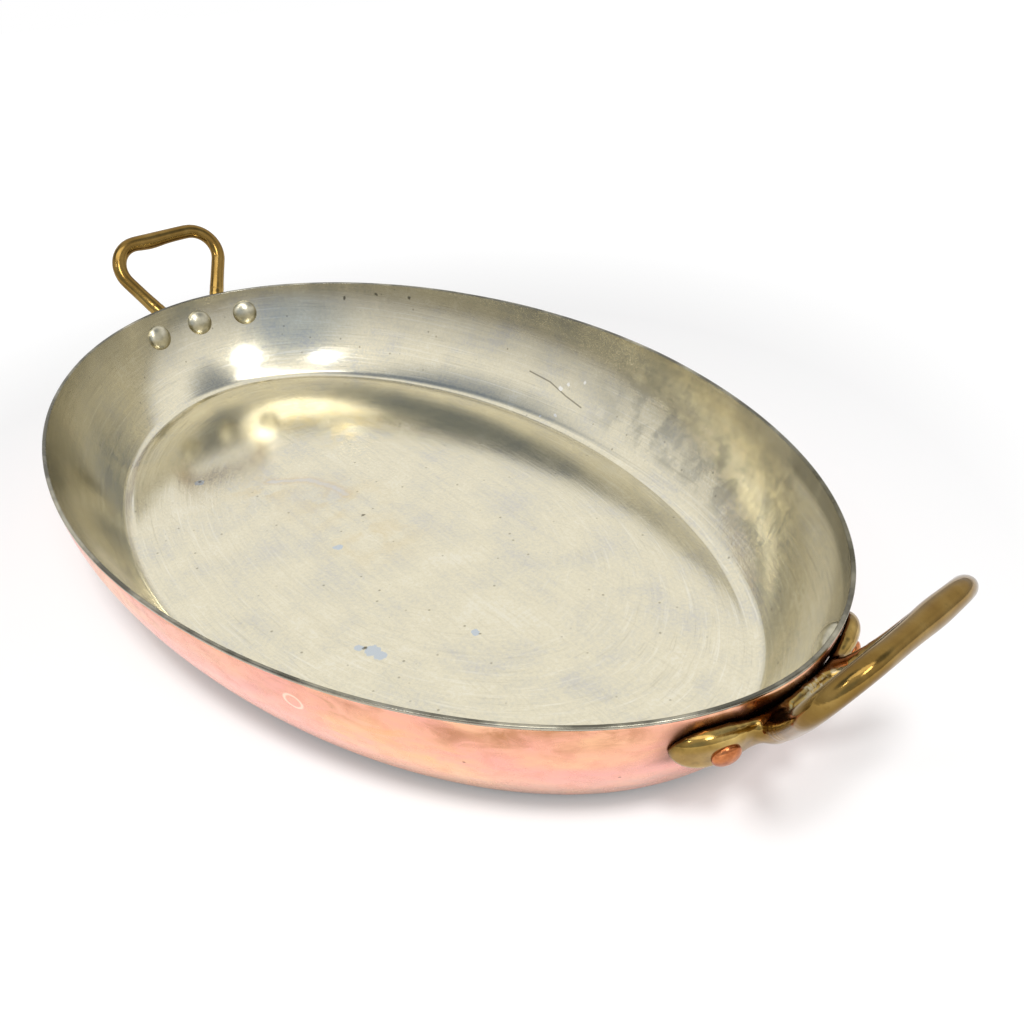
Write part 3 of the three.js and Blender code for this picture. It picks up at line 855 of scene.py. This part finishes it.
def makeHandle(name, turn, nodeName):
    bm = bmesh.new()
    addFoot(bm)
    addLoop(bm)
    bmesh.ops.recalc_face_normals(bm, faces=bm.faces)
    bmesh.ops.rotate(bm, cent=(0.0, 0.0, 0.0), matrix=Matrix.Rotation(turn, 3, "Z"), verts=bm.verts)
    raw = bpy.data.meshes.new(name + "Raw")
    bm.to_mesh(raw)
    holder = bpy.data.objects.new(name + "Raw", raw)
    scene.collection.objects.link(holder)
    remesh = holder.modifiers.new("oneCasting", "REMESH")
    remesh.mode = "VOXEL"
    remesh.voxel_size = handle["voxel"]
    cast = bpy.data.meshes.new_from_object(holder.evaluated_get(bpy.context.evaluated_depsgraph_get()))
    bpy.data.objects.remove(holder)
    bpy.data.meshes.remove(raw)
    bm.clear()
    bm.from_mesh(cast)
    bpy.data.meshes.remove(cast)
    # smoothed all over, and most where the legs spring, which makes their fillets
    side = 1 if turn == 0 else -1
    rootPoint = onWall(0.0, handle["loopRise"], handle["footThickness"])
    roots = [Vector((rootPoint.x * side, handle["rivetPitch"] / 2 * k, rootPoint.z)) for k in (1, -1)]
    for reach, times in handle["smoothing"]:
        near = [v for v in bm.verts if min((v.co - r).length for r in roots) < reach]
        for _ in range(times):
            bmesh.ops.smooth_vert(bm, verts=near, factor=0.5,
                                  use_axis_x=True, use_axis_y=True, use_axis_z=True)
    # painted shade where the casting comes close to the copper wall
    grime = bm.verts.layers.float.new("grime")
    for vert in bm.verts:
        gap = abs(vert.co.x) - wallX(vert.co.y, vert.co.z)
        vert[grime] = between((handle["shadeReach"] - gap) / handle["shadeFade"], 0.0, handle["shadeMost"])
    return addPiece(bm, name, [brass], nodeName)


# Rivets: a broad low dome tinned with the inside, a small dome peened over the handle's foot
rivet = {
    "innerRadius": 5.8,
    "innerHeight": 2.9,
    "outerRadius": 3.7,
    "outerHeight": 1.8,
    "shankRadius": 3.0,
    "headSink": 1.0,  # how deep a head's edge goes into what it holds
    "seat": 0.1,
    "domeSteps": 10,
    "sides": 48,
}


def makeRivet(name, across, turn, nodeName):
    bm = bmesh.new()
    steps, sink, shank = rivet["domeSteps"], rivet["headSink"], rivet["shankRadius"]
    inner = wallThickness + rivet["seat"]
    outer = -handle["footThickness"] - rivet["seat"]
    profile = [(0.0, outer - rivet["outerHeight"])]
    for i in range(1, steps + 1):
        a = math.pi / 2 * i / steps
        profile.append((rivet["outerRadius"] * math.sin(a), outer - rivet["outerHeight"] * math.cos(a)))
    profile += [(rivet["outerRadius"], outer + sink), (shank, outer + sink)]
    profile += [(shank, inner - sink), (rivet["innerRadius"], inner - sink)]
    for i in range(steps + 1):
        a = math.pi / 2 * i / steps
        profile.append((rivet["innerRadius"] * math.cos(a), inner + rivet["innerHeight"] * math.sin(a)))
    verts = [bm.verts.new((r, 0.0, z)) for r, z in profile]
    edges = [bm.edges.new(pair) for pair in zip(verts, verts[1:])]
    bmesh.ops.spin(bm, geom=verts + edges, cent=(0.0, 0.0, 0.0), axis=(0.0, 0.0, 1.0), dvec=(0.0, 0.0, 0.0),
                   angle=math.pi * 2, steps=rivet["sides"], use_merge=True)
    bmesh.ops.remove_doubles(bm, verts=bm.verts, dist=0.001)
    bmesh.ops.recalc_face_normals(bm, faces=bm.faces)
    for face in bm.faces:
        face.material_index = 0 if face.calc_center_median().z > 0 else 1
    # stood square to the wall where it goes through
    nudge = 0.1
    origin = onWall(across, 0.0, 0.0)
    sideways = onWall(across + nudge, 0.0, 0.0) - onWall(across - nudge, 0.0, 0.0)
    upwards = onWall(across, nudge, 0.0) - origin
    inward = upwards.cross(sideways).normalized()
    upright = Vector((0.0, 0.0, 1.0)).rotation_difference(inward).to_matrix().to_4x4()
    stand = Matrix.Translation(origin) @ upright
    bmesh.ops.transform(bm, matrix=Matrix.Rotation(turn, 4, "Z") @ stand, verts=bm.verts)
    return addPiece(bm, name, [tinnedHead, peened], nodeName)


makeCopperBody()
makeTinLining()
for end, turn in (("near", 0.0), ("far", math.pi)):
    makeHandle(end + "Handle", turn, end + "_handle")
    for side, across in (("left", -1), ("middle", 0), ("right", 1)):
        makeRivet(end + "Rivet" + side.title(), across * handle["rivetPitch"], turn, end + "_rivet_" + side)
print("pieces made")


# Studio: pale paper, white far behind, a wide softbox over the pan, two small ones, a lamp for its shadow
studio = {
    "floorSize": 6.0,
    "floorSides": 96,
    "floorDrop": 0.2,  # millimetres under the pan
    "floorColor": "#BDBDBD",
    "floorGlow": 0.42,
    "farGlow": 1.00,  # the paper far behind the pan
    "glowRange": (0.22, 0.6),  # metres from the middle, where it starts to brighten and where it is white
    "contactReach": 7.0,  # how far the dark of the contact shadow spreads, in millimetres
    "contactLevel": 0.5,
    "contactSamples": 6,
    "skyLevel": 0.26,
    "lowLevel": 0.60,  # how bright the room is at the horizon and above, as metal sees it
    "highLevel": 1.0,
    "lowEnd": -5.0,  # degrees of elevation where the dim part starts and ends
    "highStart": 32.0,
    # places in the room that metal sees: azimuth, elevation, radius, color
    "places": [(42, 20, 32, "#C2CDDE"), (-38, 51, 27, "#8590A2"), (131, 54, 28, "#989FAB")],
    # azimuth, elevation, distance, width, height, power, whether metal mirrors it
    "boxes": [
        ("softboxRight", 75, 48, 1.1, 0.27, 0.27, 2.0, True),
        ("softboxLeft", 11, 46, 1.1, 0.10, 0.11, 0.45, True),
        ("softboxTop", 40, 70, 1.2, 1.20, 0.46, 2.8, True),
        ("floorKey", 58, 64, 1.25, 0.24, 0.24, 9.2, False),
    ],
}


def toward(azimuth, elevation):
    # azimuth 0 lies toward -Y and 90 toward +X
    a, e = math.radians(azimuth), math.radians(elevation)
    return Vector((math.sin(a) * math.cos(e), -math.cos(a) * math.cos(e), math.sin(e)))


def backgroundRays(tree):
    path = addNode(tree, "LightPath")
    glossy = addNode(tree, "Math", {"operation": "MAXIMUM"},
                     {0: path.outputs["Is Glossy Ray"], 1: path.outputs["Is Transmission Ray"]})
    return path.outputs["Is Camera Ray"], glossy


def makeRoom():
    # white behind the pan, a plain grey that lights it, and the room that metal mirrors
    world = bpy.data.worlds.new("studio")
    scene.world = world
    world.use_nodes = True
    tree = world.node_tree
    camera, glossy = backgroundRays(tree)
    direction = addNode(tree, "TexCoord").outputs["Generated"]
    up = addNode(tree, "SeparateXYZ", None, {0: direction}).outputs["Z"]
    lowEnd, highStart = math.radians(studio["lowEnd"]), math.radians(studio["highStart"])
    room = addNode(tree, "MapRange", {
        "interpolation_type": "SMOOTHSTEP", 1: math.sin(lowEnd), 2: math.sin(highStart),
        3: studio["lowLevel"], 4: studio["highLevel"]}, {0: up}).outputs[0]
    for azimuth, elevation, radius, color in studio["places"]:
        facing = addNode(tree, "VectorMath", {"operation": "DOT_PRODUCT", 1: toward(azimuth, elevation)},
                         {0: direction}).outputs["Value"]
        share = addNode(tree, "MapRange", {
            "interpolation_type": "SMOOTHSTEP", 1: math.cos(math.radians(radius)), 2: 1.0}, {0: facing})
        room = addNode(tree, "Mix", {"data_type": "RGBA", 7: hexColor(color)}, {0: share, 6: room}).outputs[2]
    grey = (studio["skyLevel"],) * 3 + (1.0,)
    white = hexColor("#FFFFFF")
    forMetal = addNode(tree, "Mix", {"data_type": "RGBA", 6: grey}, {0: glossy, 7: room}).outputs[2]
    seen = addNode(tree, "Mix", {"data_type": "RGBA", 7: white}, {0: camera, 6: forMetal}).outputs[2]
    tree.links.new(seen, tree.nodes["Background"].inputs["Color"])


def makeFloor():
    made, tree, shader, place = newMaterial("paperSweep", 0.0)
    shader.inputs["Base Color"].default_value = hexColor(studio["floorColor"])
    shader.inputs["Roughness"].default_value = 1.0
    shader.inputs["Specular IOR Level"].default_value = 0.0
    camera, glossy = backgroundRays(tree)
    seen = addNode(tree, "Math", {"operation": "MAXIMUM"}, {0: camera, 1: glossy})
    away = addNode(tree, "VectorMath", {"operation": "LENGTH"}, {0: place}).outputs["Value"]
    start, end = studio["glowRange"]
    near, far = studio["floorGlow"], studio["farGlow"]
    level = addNode(tree, "MapRange", {1: start, 2: end, 3: near, 4: far}, {0: away})
    glow = addNode(tree, "Math", {"operation": "MULTIPLY"}, {0: seen, 1: level})
    reached = addNode(tree, "AmbientOcclusion", {
        "samples": studio["contactSamples"], "Distance": studio["contactReach"] * mm}).outputs["AO"]
    contact = addNode(tree, "MapRange", {3: studio["contactLevel"]}, {0: reached})
    tree.links.new(contact.outputs[0], shader.inputs["Emission Color"])
    tree.links.new(glow.outputs[0], shader.inputs["Emission Strength"])
    bm = bmesh.new()
    bmesh.ops.create_circle(bm, segments=studio["floorSides"], radius=studio["floorSize"] / 2, cap_ends=True)
    bmesh.ops.translate(bm, vec=(0.0, 0.0, -studio["floorDrop"] * mm), verts=bm.verts)
    mesh = bpy.data.meshes.new("paperFloor")
    bm.to_mesh(mesh)
    bm.free()
    mesh.materials.append(made)
    floor = bpy.data.objects.new("paperFloor", mesh)
    scene.collection.objects.link(floor)


def makeLamps():
    for name, azimuth, elevation, distance, width, depth, power, mirrored in studio["boxes"]:
        lamp = bpy.data.lights.new(name, "AREA")
        lamp.shape = "ELLIPSE"
        lamp.size = width
        lamp.size_y = depth
        lamp.energy = power
        box = bpy.data.objects.new(name, lamp)
        box.location = toward(azimuth, elevation) * distance
        box.rotation_euler = (-box.location).to_track_quat("-Z", "Y").to_euler()
        box.visible_glossy = mirrored
        scene.collection.objects.link(box)


makeRoom()
makeFloor()
makeLamps()
print("studio made")

view = {
    "place": (0.25136, -0.13961, 0.18616),
    "turn": (56.516, 3.13, 50.415),
    "lens": 31.2197,
    "sensor": 36.0,
    "nearest": 0.01,
}
lens = bpy.data.cameras.new("photoView")
lens.lens = view["lens"]
lens.sensor_width = view["sensor"]
lens.clip_start = view["nearest"]
camera = bpy.data.objects.new("photoView", lens)
camera.location = view["place"]
camera.rotation_euler = [math.radians(a) for a in view["turn"]]
scene.collection.objects.link(camera)
scene.camera = camera
